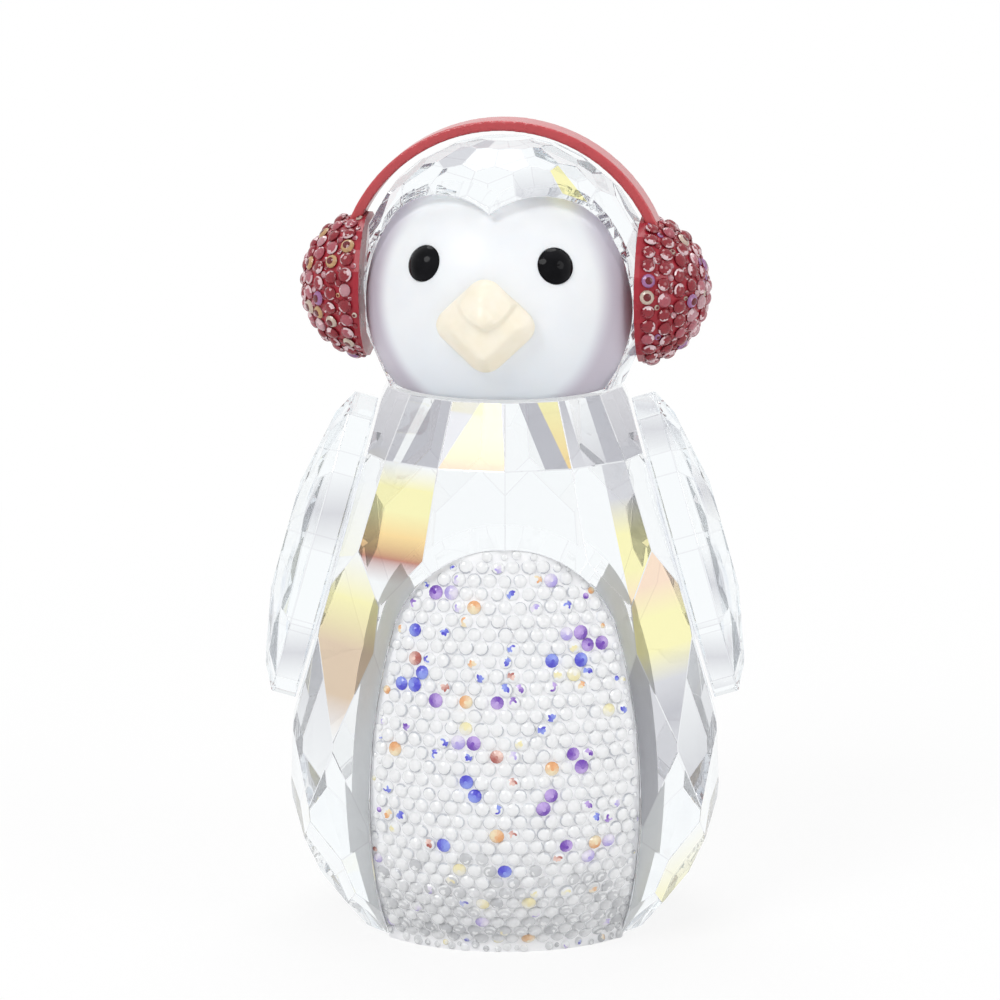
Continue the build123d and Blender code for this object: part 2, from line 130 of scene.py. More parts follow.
# Facets with painted light, painted fire and painted shade: row, place in facet steps from the front
# towards the penguin's left, and bands of painted light from its right to its left. Each band has its far
# limit, as a share of the facet's half width at the top and at the foot, and its colours from the top to
# the foot
FACETS_WITH_PAINTED_LIGHT = {
    "body_crystal": (
        (COLLAR, -2.5, whole(PAINTED_MID_GREY, PAINTED_DARK_GREY)),
        (COLLAR, -1.5, (
            (-0.3, -0.7, (PAINTED_MID_GREY, PAINTED_DARK_GREY)),
            (0.2, -0.4, (CLEAR, CLEAR)),
            (1, 1, (PAINTED_DARK_GREY, PAINTED_DARK_GREY)),
        )),
        (COLLAR, -0.5, (
            (0.1, -1, (PAINTED_DARK_GREY, PAINTED_DARK_GREY)),
            (0.85, 1, (FIRE_STRAW, FIRE_STRAW, FIRE_TAN)),
            (1, 1, (PAINTED_DARK_GREY, PAINTED_DARK_GREY)),
        )),
        (COLLAR, 0.5, (
            (-0.5, 0.2, (CLEAR, CLEAR)),
            (0.2, 0.9, (PAINTED_DARK_GREY, PAINTED_DARK_GREY)),
            (1, 1, (FIRE_STRAW, FIRE_AMBER)),
        )),
        (COLLAR, 1.5, (
            (-0.7, -0.5, (PAINTED_DARK_GREY, PAINTED_MID_GREY)),
            (0.3, 0.3, (CLEAR, PAINTED_MID_GREY)),
            (1, 1, (PAINTED_DARK_GREY, PAINTED_DARK_GREY)),
        )),
        (COLLAR, 2.5, whole(PAINTED_MID_GREY, PAINTED_DARK_GREY)),
        (SHOULDER, -0.5, whole(CLEAR, CLEAR)),
        (SHOULDER, 0.5, whole(CLEAR, CLEAR)),
        (SHOULDER, -1.5, whole(CLEAR, FIRE_STRAW, FIRE_STRAW, FIRE_AMBER, FIRE_BROWN, CLEAR, CLEAR)),
        (SHOULDER, 1.5, (
            (0.1, 0.3, (CLEAR, CLEAR)),
            (1, 1, (PAINTED_MID_GREY, PAINTED_MID_GREY, FIRE_STRAW, FIRE_STRAW, FIRE_PEACH)),
        )),
        (FLANK, -2.0, whole(CLEAR, FIRE_STRAW, FIRE_SAND, FIRE_SAND, CLEAR)),
        (FLANK, 2.0, whole(FIRE_PEACH, FIRE_PEACH, FIRE_STRAW, FIRE_STRAW, PAINTED_MID_GREY, PAINTED_DARK_GREY, PAINTED_MID_GREY)),
        (HIP, -2.5, whole(PAINTED_MID_GREY, CLEAR)),
        (HIP, 1.5, whole(PAINTED_MID_GREY, PAINTED_MID_GREY)),
        (HIP, 2.5, whole(CLEAR, PAINTED_DARK_GREY)),
    ),
    "head_crystal": (
        (HOOD_TOP, -1.0, whole(PAINTED_MID_GREY, PAINTED_MID_GREY)),
        (HOOD_UPPER, -1.5, whole(PAINTED_MID_GREY, PAINTED_MID_GREY)),
        (HOOD_LOWER, 1.0, whole(CLEAR, PAINTED_MID_GREY)),
        (HOOD_LOWER, 2.0, ((-0.2, -0.2, (FIRE_STRAW, FIRE_STRAW)), (1, 1, (CLEAR, CLEAR)))),
    ),
}
# Seats of the belly bed and of the face, which the glass stands a hair off. The upright walls beside the
# bed are ground, not polished
SEAT_TINT = (0.95, 0.96, 0.98)
GROUND_FACING = 0.75
SEAT_REACH = 0.15 * MM
SEAT_TOUCH = 0.02 * MM
SEAT_ROOM = 0.04 * MM


def new_material(name):
    """Material with its node tree and the tree's Principled shader."""
    material = bpy.data.materials.new(name)
    material.use_nodes = True
    tree = material.node_tree
    return material, tree, tree.nodes["Principled BSDF"]


def link(tree, a, b):
    tree.links.new(a, b)


def node(tree, kind, **settings):
    made = tree.nodes.new(kind)
    for name, value in settings.items():
        setattr(made, name, value)
    return made


def speckle(tree, scale, detail=3.0):
    """Noise over the object in its own space."""
    place = node(tree, "ShaderNodeTexCoord")
    noise = node(tree, "ShaderNodeTexNoise")
    noise.inputs["Scale"].default_value = scale
    noise.inputs["Detail"].default_value = detail
    link(tree, place.outputs["Object"], noise.inputs["Vector"])
    return noise


def ramp(tree, source, low, high, start=0.3, end=0.7):
    """Colour between two values of a source."""
    made = node(tree, "ShaderNodeValToRGB")
    made.color_ramp.elements[0].position = start
    made.color_ramp.elements[0].color = (*low, 1)
    made.color_ramp.elements[1].position = end
    made.color_ramp.elements[1].color = (*high, 1)
    link(tree, source, made.inputs["Fac"])
    return made


def grey(value):
    return (value, value, value)


def glass_material(name, grain, polish, index, transmission):
    """Cut glass, coloured by its attribute: own tint and painted light. Its polish is finely uneven."""
    material, tree, shader = new_material(name)
    # Colour attribute: the glass's own tint, with painted fire and painted shade
    tone_and_painted_light = node(tree, "ShaderNodeAttribute", attribute_name="tint_and_painted_light")
    link(tree, tone_and_painted_light.outputs["Color"], shader.inputs["Base Color"])
    noise = speckle(tree, grain)
    uneven = ramp(tree, noise.outputs["Fac"], grey(polish[0]), grey(polish[1]))
    link(tree, uneven.outputs["Color"], shader.inputs["Roughness"])
    shader.inputs["IOR"].default_value = index
    shader.inputs["Transmission Weight"].default_value = transmission
    return material


# Opaque finishes: spread of the roughness, roughness of the clear coat, reach of light under the surface,
# and depth of bumps
GLOSS_SPREAD = 0.15
COAT_ROUGHNESS = 0.08
SCATTER_RADII = (0.6 * MM, 0.5 * MM, 0.45 * MM)
BUMP_DEPTH = 0.02 * MM


def coated_material(name, tones, roughness, grain, bump=0.0, coat=0.0, subsurface=0.0, specular=0.5):
    """Opaque finish with a fine mottle in colour and gloss."""
    material, tree, shader = new_material(name)
    noise = speckle(tree, grain)
    colour = ramp(tree, noise.outputs["Fac"], *tones)
    link(tree, colour.outputs["Color"], shader.inputs["Base Color"])
    least = roughness * (1 - GLOSS_SPREAD)
    most = roughness * (1 + GLOSS_SPREAD)
    gloss = ramp(tree, noise.outputs["Fac"], grey(least), grey(most))
    link(tree, gloss.outputs["Color"], shader.inputs["Roughness"])
    shader.inputs["Specular IOR Level"].default_value = specular
    shader.inputs["Coat Weight"].default_value = coat
    shader.inputs["Coat Roughness"].default_value = COAT_ROUGHNESS
    shader.inputs["Subsurface Weight"].default_value = subsurface
    shader.inputs["Subsurface Radius"].default_value = SCATTER_RADII
    shader.inputs["Subsurface Scale"].default_value = 1.0
    if bump:
        relief = node(tree, "ShaderNodeBump")
        relief.inputs["Strength"].default_value = bump
        relief.inputs["Distance"].default_value = BUMP_DEPTH
        link(tree, noise.outputs["Fac"], relief.inputs["Height"])
        link(tree, relief.outputs["Normal"], shader.inputs["Normal"])
    return material


# Painted shade of the satin face towards its sides, lilac with painted reflection, and towards its chin,
# bluish:
# half sizes of its oval, shares of the oval between which the painted rim shade comes in, and shares of its
# half height between which the painted chin shade does
FACE_HALF_WIDTH = 9.5 * MM
FACE_HALF_HEIGHT = 10.5 * MM
FACE_BAND = (0.76, 0.90)
FACE_WHITE = ((0.88, 0.90, 0.935), (0.91, 0.93, 0.955))
FACE_RIM_SHADE = (0.58, 0.54, 0.62)
FACE_CHIN_SHADE = (0.80, 0.85, 0.92)
FACE_CHIN_SHARES = (0.1, -1.0)


def centre_of(node_name):
    low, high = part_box(node_name)
    return (Vector(low) + Vector(high)) / 2


def smooth_share(tree, value, limits):
    """Soft change between two limits of a value, as a node."""
    made = node(tree, "ShaderNodeMapRange", interpolation_type="SMOOTHSTEP")
    made.inputs["From Min"].default_value = limits[0]
    made.inputs["From Max"].default_value = limits[1]
    link(tree, value, made.inputs["Value"])
    return made


def face_place(tree):
    """Place on the face in shares of its oval, in the turned frame of the head."""
    middle = centre_of("face_plate")
    place = node(tree, "ShaderNodeTexCoord")
    turn = node(tree, "ShaderNodeVectorRotate", rotation_type="Z_AXIS")
    turn.inputs["Angle"].default_value = -head_turn()
    link(tree, place.outputs["Object"], turn.inputs["Vector"])
    shift = node(tree, "ShaderNodeVectorMath", operation="SUBTRACT")
    shift.inputs[1].default_value = (0, 0, middle.z)
    link(tree, turn.outputs["Vector"], shift.inputs[0])
    scale = node(tree, "ShaderNodeVectorMath", operation="MULTIPLY")
    scale.inputs[1].default_value = (1 / FACE_HALF_WIDTH, 0, 1 / FACE_HALF_HEIGHT)
    link(tree, shift.outputs["Vector"], scale.inputs[0])
    return scale.outputs["Vector"]


def face_material():
    """Satin glass, white, with painted bluish shade at the chin and painted lilac grey shade along the
    sides.
    """
    material = coated_material(
        "satin_glass", FACE_WHITE,
        roughness=0.42, grain=400.0, bump=0.05, coat=0.05, subsurface=0.25, specular=0.3,
    )
    tree = material.node_tree
    shader = tree.nodes["Principled BSDF"]
    place = face_place(tree)
    length = node(tree, "ShaderNodeVectorMath", operation="LENGTH")
    link(tree, place, length.inputs[0])
    split = node(tree, "ShaderNodeSeparateXYZ")
    link(tree, place, split.inputs[0])
    chin = smooth_share(tree, split.outputs["Z"], FACE_CHIN_SHARES)
    band = smooth_share(tree, length.outputs["Value"], FACE_BAND)
    colour = shader.inputs["Base Color"].links[0].from_socket
    for share, tone in ((chin, FACE_CHIN_SHADE), (band, FACE_RIM_SHADE)):
        mix = node(tree, "ShaderNodeMix", data_type="RGBA")
        mix.inputs["B"].default_value = (*tone, 1)
        link(tree, share.outputs["Result"], mix.inputs["Factor"])
        link(tree, colour, mix.inputs["A"])
        colour = mix.outputs["Result"]
    link(tree, colour, shader.inputs["Base Color"])
    return material


# Cured adhesive: its tones, and the share of light that its milkiness takes
BOND_TONES = ((0.93, 0.95, 0.98), (1.0, 1.0, 1.0))
BOND_GRAIN = 700.0
BOND_ROUGHNESS = 0.25
BOND_MILK = 0.03


def bond_material():
    """Cured clear adhesive: light passes straight on, with a faint milky mottle."""
    material, tree, shader = new_material("clear_bond")
    noise = speckle(tree, BOND_GRAIN)
    colour = ramp(tree, noise.outputs["Fac"], *BOND_TONES)
    clear = node(tree, "ShaderNodeBsdfTransparent")
    link(tree, colour.outputs["Color"], clear.inputs["Color"])
    link(tree, colour.outputs["Color"], shader.inputs["Base Color"])
    shader.inputs["Roughness"].default_value = BOND_ROUGHNESS
    mix = node(tree, "ShaderNodeMixShader")
    mix.inputs["Fac"].default_value = BOND_MILK
    link(tree, clear.outputs["BSDF"], mix.inputs[1])
    link(tree, shader.outputs["BSDF"], mix.inputs[2])
    link(tree, mix.outputs["Shader"], tree.nodes["Material Output"].inputs["Surface"])
    return material


def welded(node_name):
    """Mesh of a node as bmesh, with its split corners joined and its flat faces whole."""
    made = bmesh.new()
    made.from_mesh(nodes[node_name].data)
    bmesh.ops.remove_doubles(made, verts=made.verts, dist=WELD)
    bmesh.ops.dissolve_limit(
        made, angle_limit=FLAT_ANGLE, verts=made.verts, edges=made.edges, use_dissolve_boundaries=False
    )
    made.normal_update()
    return made


def add_piece(mesh, name, materials, replaced):
    """New object from a mesh that stands for a CAD node."""
    for material in materials:
        mesh.materials.append(material)
    piece = bpy.data.objects.new(name, mesh)
    scene.collection.objects.link(piece)
    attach(piece, ROOT)
    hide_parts(replaced)
    return piece


def mesh_from(made, name):
    mesh = bpy.data.meshes.new(name)
    made.to_mesh(mesh)
    made.free()
    return mesh


def surface(mesh):
    return BVHTree.FromPolygons([v.co for v in mesh.vertices], [p.vertices for p in mesh.polygons])


def head_turn():
    """Angle by which the head is turned, from the line through the eyes."""
    across = centre_of("left_eye") - centre_of("right_eye")
    return math.atan2(across.y, across.x)


def marked_bands(node_name, normal):
    """Bands of painted light on a facet that the list of facets with painted light names, if it does."""
    azimuth = math.degrees(math.atan2(normal.x, -normal.y))
    tilt = math.degrees(math.asin(normal.z))
    if node_name == "head_crystal":
        azimuth -= math.degrees(head_turn())
    for row_tilt, steps, bands in FACETS_WITH_PAINTED_LIGHT.get(node_name, ()):
        if abs(tilt - row_tilt) < FACET_MATCH and abs(azimuth - steps * 360 / FACETS_AROUND) < FACET_MATCH:
            return bands
    return None


# Share of the other facets that get each row of colours, from the top to the foot: clear glass, with
# painted shade and painted fire on some
LOOSE_PAINTED_LIGHT = (
    (0.90, whole(CLEAR, CLEAR)),
    (0.07, whole(CLEAR, PAINTED_LIGHT_GREY)),
    (0.03, whole(CLEAR, FIRE_STRAW)),
)
WING_PAINTED_LIGHT = (
    (0.78, whole(CLEAR, CLEAR)),
    (0.22, whole(CLEAR, PAINTED_MID_GREY, CLEAR)),
)
HOOD_PAINTED_LIGHT = (
    (0.97, whole(CLEAR, CLEAR)),
    (0.03, whole(CLEAR, PAINTED_MID_GREY)),
)


def pick(draw, table):
    level = draw.random()
    for share, choice in table:
        if level < share:
            return choice
        level -= share
    return table[0][1]


def blend(first, second, share):
    return tuple(a + (b - a) * share for a, b in zip(first, second))


def along(colours, share):
    """Colour at a share of the way through a row of colours."""
    place = min(1.0, max(0.0, share)) * (len(colours) - 1)
    step = min(int(place), len(colours) - 2)
    return blend(colours[step], colours[step + 1], place - step)


class Facet:
    """One flat of a crystal, with the bands of painted light on it."""

    def __init__(self, face, bands):
        self.normal = face.normal.copy()
        self.bands = bands
        level = Vector((0, 0, 1)).cross(self.normal)
        self.across = level.normalized() if level.length > WELD else Vector((1, 0, 0))
        self.up = self.normal.cross(self.across)
        self.depth = self.normal.dot(face.verts[0].co)
        rises = [vertex.co.dot(self.up) for vertex in face.verts]
        self.top, self.foot = max(rises), min(rises)
        self.height = max(self.top - self.foot, WELD)
        self.top_ends = self.ends(face, self.top)
        self.foot_ends = self.ends(face, self.foot)

    def ends(self, face, rise):
        """Reach of the facet across, near its top or its foot."""
        near = []
        for vertex in face.verts:
            if abs(vertex.co.dot(self.up) - rise) < self.height * NEAR_END:
                near.append(vertex.co.dot(self.across))
        return min(near), max(near)

    def owns(self, face):
        return face.normal.dot(self.normal) > SAME_FACET

    def limit(self, band, share):
        """Far limit of a band at a share of the way down."""
        places = []
        for part, (start, end) in ((band[0], self.top_ends), (band[1], self.foot_ends)):
            places.append((start + end) / 2 + part * (end - start) / 2)
        return places[0] + (places[1] - places[0]) * share

    def place(self, across, share):
        rise = self.top - share * self.height
        return self.across * across + self.up * rise + self.normal * self.depth

    def cut(self, made):
        """Divides the facet where its bands meet and where their colours turn."""
        planes = []
        for band in self.bands[:-1]:
            top = self.place(self.limit(band, 0), 0)
            foot = self.place(self.limit(band, 1), 1)
            planes.append((foot, self.normal.cross(top - foot)))
        for turns in {len(band[2]) - 1 for band in self.bands}:
            planes += [(self.place(0, turn / turns), self.up) for turn in range(1, turns)]
        for point, direction in planes:
            for face in [f for f in made.faces if self.owns(f)]:
                around = [face, *face.edges, *face.verts]
                bmesh.ops.bisect_plane(made, geom=around, dist=WELD, plane_co=point, plane_no=direction)

    def share_at(self, point):
        return min(1.0, max(0.0, (self.top - point.dot(self.up)) / self.height))

    def colours_at(self, point):
        """Row of colours of the band in which a point lies."""
        share = self.share_at(point)
        for band in self.bands[:-1]:
            if point.dot(self.across) < self.limit(band, share):
                return band[2]
        return self.bands[-1][2]


def free_seat(made, layer, touching, ground_walls):
    """Frees the faces that lie against another node by a hair, and may grind their upright walls."""
    against = surface(nodes[touching].data)
    seat = [f for f in made.faces if against.find_nearest(f.calc_center_median())[3] < SEAT_REACH]
    for face in seat:
        if ground_walls and abs(face.normal.x) > GROUND_FACING:
            face.material_index = 1
        for loop in face.loops:
            loop[layer] = (*SEAT_TINT, 1.0)
    for vertex in {vertex for face in seat for vertex in face.verts}:
        if against.find_nearest(vertex.co)[3] < SEAT_TOUCH:
            vertex.co -= vertex.normal * SEAT_ROOM


def cut_crystal(node_name, materials, loose_tints, seed, touching=None):
    """Crystal with its edges broken as polishing leaves them, and painted light on each facet.

    The second material, where there is one, is the ground finish of the seat that touches another node.
    """
    made = welded(node_name)
    draw = random.Random(seed)
    facets = []
    for face in made.faces:
        bands = pick(draw, loose_tints)
        facets.append(Facet(face, marked_bands(node_name, face.normal) or bands))
    sharp = [e for e in made.edges if len(e.link_faces) == 2 and e.calc_face_angle(0) > SHARP_ANGLE]
    bmesh.ops.bevel(
        made, geom=sharp, offset=EDGE_BREAK, offset_type="OFFSET", segments=1, profile=0.5, affect="EDGES"
    )
    made.normal_update()
    for facet in facets:
        facet.cut(made)
    bmesh.ops.triangulate(made, faces=[f for f in made.faces if len(f.verts) > 4])
    made.normal_update()
    # Each facet's colours: clear glass, painted fire and painted shade, and painted shade on the broken
    # edges
    layer = made.loops.layers.float_color.new("tint_and_painted_light")
    for face in made.faces:
        facet = max(facets, key=lambda known: known.normal.dot(face.normal))
        on_facet = facet.owns(face)
        colours = facet.colours_at(face.calc_center_median())
        for loop in face.loops:
            # A face on a broken edge gets painted shade
            colour = along(colours, facet.share_at(loop.vert.co)) if on_facet else PAINTED_EDGE_SHADE
            loop[layer] = (*colour, 1.0)
    if touching:
        free_seat(made, layer, touching, ground_walls=len(materials) > 1)
    name = f"{node_name}_cut"
    return add_piece(mesh_from(made, name), name, materials, node_name)


# Share of the way to its neighbours that each round of smoothing moves a point
SMOOTHING = 0.5


def softened(node_name, name, material, grain, rounds):
    """Node with its edges rounded over, as moulding and lacquer leave them."""
    rough = bpy.data.objects.new(f"{name}_rough", nodes[node_name].data.copy())
    scene.collection.objects.link(rough)
    remesh = rough.modifiers.new("grain", "REMESH")
    remesh.mode = "VOXEL"
    remesh.voxel_size = grain
    remesh.use_smooth_shade = True
    smooth = rough.modifiers.new("rounding", "SMOOTH")
    smooth.factor = SMOOTHING
    smooth.iterations = rounds
    depsgraph = bpy.context.evaluated_depsgraph_get()
    mesh = bpy.data.meshes.new_from_object(rough.evaluated_get(depsgraph))
    bpy.data.objects.remove(rough)
    mesh.name = name
    mesh.materials.clear()
    return add_piece(mesh, name, [material], node_name)


# Upper bill of the beak: half sizes of its diamond, height of its middle over the beak's, and its relief
BILL_HALF_WIDTH = 1.9 * MM
BILL_HALF_HEIGHT = 1.6 * MM
BILL_RISE = 1.5 * MM
BILL_RELIEF = 0.36 * MM
BILL_EDGE = (0.82, 1.06)
BILL_ROUNDING = 1.4
# The beak's tip is rounded down over TIP_DEPTH to TIP_LEFT, and its edge laps over the seam of its seat by
# a share that comes in between two depths from the back
TIP_DEPTH = 1.0 * MM
TIP_LEFT = 0.5 * MM
BEAK_LAP = 0.08
LAP_DEPTHS = (0.7 * MM, 1.1 * MM)


def smooth_step(value, start, end):
    share = min(1.0, max(0.0, (value - start) / (end - start)))
    return share * share * (3 - 2 * share)


def shape_beak(piece):
    """Rounds the tip, laps the edge over the seat and brings the upper bill forward."""
    middle = centre_of("beak")
    turn = Matrix.Rotation(head_turn(), 3, "Z")
    forward = turn @ Vector((0, -1, 0))
    across = turn @ Vector((1, 0, 0))
    vertices = piece.data.vertices
    facing = [vertex.normal.dot(forward) for vertex in vertices]
    depths = [(vertex.co - middle).dot(forward) for vertex in vertices]
    back = min(depths)
    level = max(depths) - TIP_DEPTH
    for vertex, front, deep in zip(vertices, facing, depths):
        away = vertex.co - middle
        wide = away.dot(across)
        lap = 1 + BEAK_LAP * smooth_step(deep - back, *LAP_DEPTHS)
        out = deep if deep < level else level + TIP_LEFT * math.tanh((deep - level) / TIP_LEFT)
        if front > 0:
            bill_wide = abs(wide) / BILL_HALF_WIDTH
            bill_tall = abs(away.z - BILL_RISE) / BILL_HALF_HEIGHT
            reach = (bill_wide**BILL_ROUNDING + bill_tall**BILL_ROUNDING) ** (1 / BILL_ROUNDING)
            out += BILL_RELIEF * smooth_step(-reach, -BILL_EDGE[1], -BILL_EDGE[0])
        vertex.co = middle + across * wide * lap + Vector((0, 0, away.z * lap)) + forward * out


def islands(mesh):
    """Vertex places of each separate solid in a node's mesh."""
    index_of = {}
    corner = []
    for vertex in mesh.vertices:
        key = tuple(vertex.co)
        corner.append(index_of.setdefault(key, len(index_of)))
    parent = list(range(len(index_of)))

    def top(i):
        while parent[i] != i:
            parent[i] = parent[parent[i]]
            i = parent[i]
        return i

    for polygon in mesh.polygons:
        first = top(corner[polygon.vertices[0]])
        for other in polygon.vertices[1:]:
            parent[top(corner[other])] = first
    groups = {}
    for place, i in index_of.items():
        groups.setdefault(top(i), []).append(Vector(place))
    return list(groups.values())


def spread(points, point):
    """Difference between the longest and the shortest way from a point to the others."""
    lengths = [(other - point).length for other in points if other is not point]
    return max(lengths) - min(lengths)


def stone_frames(node_name):
    """Base centre, axis, one direction across and radius of each stone of a node."""
    found = []
    for points in islands(nodes[node_name].data):
        apex = min(points, key=lambda point: spread(points, point))
        rim = [p for p in points if p is not apex]
        centre = sum(rim, Vector()) / len(rim)
        axis = (apex - centre).normalized()
        across = (rim[0] - centre).normalized()
        found.append((centre, axis, across, (rim[0] - centre).length))
    return found


# Small stones: set by hand, so they vary in size, place and tilt
STONE_SIDES = 12
# Rings of a stone from its back, which is sunk in the bed, to its table: share of the radius, and height
# as a share of the radius
STONE_RINGS = ((0.88, -0.24), (1.0, 0.02), (1.0, 0.12), (0.84, 0.34), (0.55, 0.52), (0.25, 0.6))
STONE_ZONES = ("girdle", "girdle", "rim", "crown", "heart")
STONE_SIZES = (0.90, 1.03)
STONE_LOWEST = 0.02 * MM
STONE_SHIFT = 0.05 * MM
STONE_TILT = math.radians(5)
# Smaller stones that fill gaps between the others, the larger ones first. They lie where the bed faces
# outward, and all their rim points are close to it
FILLER_RADII = (0.46 * MM, 0.18 * MM)
FILLER_TRIES = 12000
FILLER_CLOSE = 0.9
FILLER_BACKING = 0.08 * MM
FILLER_FACING = 0.25
FILLER_RIM_POINTS = 6


def loosen(place, draw):
    """A stone's place with the small differences of setting by hand."""
    centre, axis, across, radius = place
    side = axis.cross(across)
    centre = centre + across * draw.uniform(-STONE_SHIFT, STONE_SHIFT)
    centre = centre + side * draw.uniform(-STONE_SHIFT, STONE_SHIFT)
    tilt = Matrix.Rotation(draw.uniform(-STONE_TILT, STONE_TILT), 3, across)
    tilt = tilt @ Matrix.Rotation(draw.uniform(-STONE_TILT, STONE_TILT), 3, side)
    return centre, tilt @ axis, tilt @ across, radius * draw.uniform(*STONE_SIZES)


def fillers(bed, places, outward, keep_off, draw):
    """Places for smaller stones on a bed, clear of the other stones and of another node."""
    tree = surface(bed)
    apart = surface(nodes[keep_off].data)
    faces = [p for p in bed.polygons if outward(p.normal) > FILLER_FACING]
    areas = list(itertools.accumulate(p.area for p in faces))
    known = KDTree(len(places))
    for number, place in enumerate(places):
        known.insert(place[0], number)
    known.balance()
    widest = max(place[3] for place in places)
    added = []
    for attempt in range(FILLER_TRIES):
        face = draw.choices(faces, cum_weights=areas)[0]
        corners = [bed.vertices[i].co for i in face.vertices]
        shares = [-math.log(1 - draw.random()) for _ in corners]
        spot = sum((c * s for c, s in zip(corners, shares)), Vector()) / sum(shares)
        radius = FILLER_RADII[0] + (FILLER_RADII[1] - FILLER_RADII[0]) * attempt / FILLER_TRIES
        if known.find_range(spot, FILLER_CLOSE * (radius + widest)):
            continue
        if any((spot - other[0]).length < FILLER_CLOSE * (radius + other[3]) for other in added):
            continue
        if apart.find_nearest(spot)[3] < radius:
            continue
        axis = face.normal.copy()
        across = axis.orthogonal().normalized()
        side = axis.cross(across)
        rim = []
        for index in range(FILLER_RIM_POINTS):
            angle = math.tau * index / FILLER_RIM_POINTS
            rim.append(spot + (across * math.cos(angle) + side * math.sin(angle)) * radius)
        if all(tree.find_nearest(point)[3] < FILLER_BACKING for point in rim):
            added.append((spot, axis, across, radius))
    return added


def add_stone(made, layer, place, finish, draw):
    """One round cut stone; finish gives a colour and a material number for each zone and side of it."""
    centre, axis, across, radius = place
    side = axis.cross(across)
    spin = draw.uniform(0, math.tau)
    rings = []
    for share, height in STONE_RINGS:
        ring = []
        for index in range(STONE_SIDES):
            angle = spin + math.tau * index / STONE_SIDES
            out = across * math.cos(angle) + side * math.sin(angle)
            point = centre + out * radius * share + axis * radius * height
            point.z = max(point.z, STONE_LOWEST)
            ring.append(made.verts.new(point))
        rings.append(ring)
    last = len(rings) - 1
    faces = [(made.faces.new(list(reversed(rings[0]))), "girdle", 0)]
    for level in range(last):
        for index in range(STONE_SIDES):
            after = (index + 1) % STONE_SIDES
            lower, upper = rings[level], rings[level + 1]
            face = made.faces.new((lower[index], lower[after], upper[after], upper[index]))
            faces.append((face, STONE_ZONES[level], index))
    faces.append((made.faces.new(rings[last]), "heart", 0))
    for face, zone, index in faces:
        colour, face.material_index = finish(zone, index)
        for loop in face.loops:
            loop[layer] = (*colour, 1.0)


# Painted fire that the belly stones flash, with painted shade on one side and painted highlight on the
# other: share, deep colour on the shaded side and light colour on the other
BELLY_PAINTED_FIRE = (
    (0.72, None),
    (0.08, ((0.10, 0.09, 0.70), (0.32, 0.40, 0.95))),
    (0.06, ((0.20, 0.07, 0.52), (0.62, 0.45, 0.88))),
    (0.04, ((0.50, 0.42, 0.88), (0.90, 0.86, 0.98))),
    (0.04, ((0.92, 0.45, 0.20), (0.99, 0.86, 0.60))),
    (0.04, ((0.98, 0.90, 0.52), (0.98, 0.97, 0.88))),
    (0.02, ((0.50, 0.14, 0.12), (0.97, 0.70, 0.62))),
)
# The same painted fire for the low stones, on fewer of them
LOW_PAINTED_FIRE = (
    (0.84, None),
    (0.03, ((0.20, 0.20, 0.62), (0.62, 0.66, 0.92))),
    (0.05, ((0.50, 0.42, 0.80), (0.90, 0.86, 0.96))),
    (0.04, ((0.90, 0.58, 0.34), (0.98, 0.90, 0.74))),
    (0.04, ((0.95, 0.86, 0.52), (0.97, 0.95, 0.86))),
)
# Height below which the belly stones are greyer, and its spread
LOW_BELLY = 6.5 * MM
LOW_SPREAD = 2.5 * MM
LOW_GREY = (0.60, 0.61, 0.63)
# Stones that flash off their middle only, and the sides of the heart and of the crown that do
PART_FLASH = 0.5
HEART_SIDES = 7
CROWN_SIDES = 2
BELLY_CLEAR = (0.97, 0.98, 0.99)
BELLY_GIRDLE = (0.92, 0.93, 0.95)
# Painted shade arcs along part of a stone's rim, for the thin grey outline of clear glass, and how many of
# the rim's sides such an arc takes, also for the earmuffs' painted crescents
BELLY_SHADE_ARCS = ((0.60, 0.62, 0.67), (0.88, 0.90, 0.93))
ARC_SIDES = (3, 7)

# Colours of the earmuffs' stones
ROSE_DEEP = (0.22, 0.01, 0.02)
ROSE_TINTS = (
    (0.70, (0.44, 0.03, 0.05)),
    (0.20, (0.66, 0.16, 0.21)),
    (0.10, (0.85, 0.46, 0.52)),
)
# Stones near the top of a dome catch more light
ROSE_TOP = 0.78
ROSE_TOP_GIRDLE = 0.5
ROSE_TOP_TINTS = (
    (0.36, (0.50, 0.05, 0.08)),
    (0.34, (0.74, 0.26, 0.32)),
    (0.30, (0.92, 0.60, 0.66)),
)
# Painted reflections: a ring of bright colour round a painted dark heart, and the share of stones that get
# each
ROSE_PAINTED_FLASHES = (
    (0.88, None),
    (0.05, (1.0, 0.90, 0.74)),
    (0.03, (0.92, 0.62, 0.30)),
    (0.04, (0.62, 0.30, 0.66)),
)
# Painted pale highlight crescent along the rim of the other stones
ROSE_HIGHLIGHT = (1.0, 0.76, 0.80)
CRESCENT_SIDES = 2


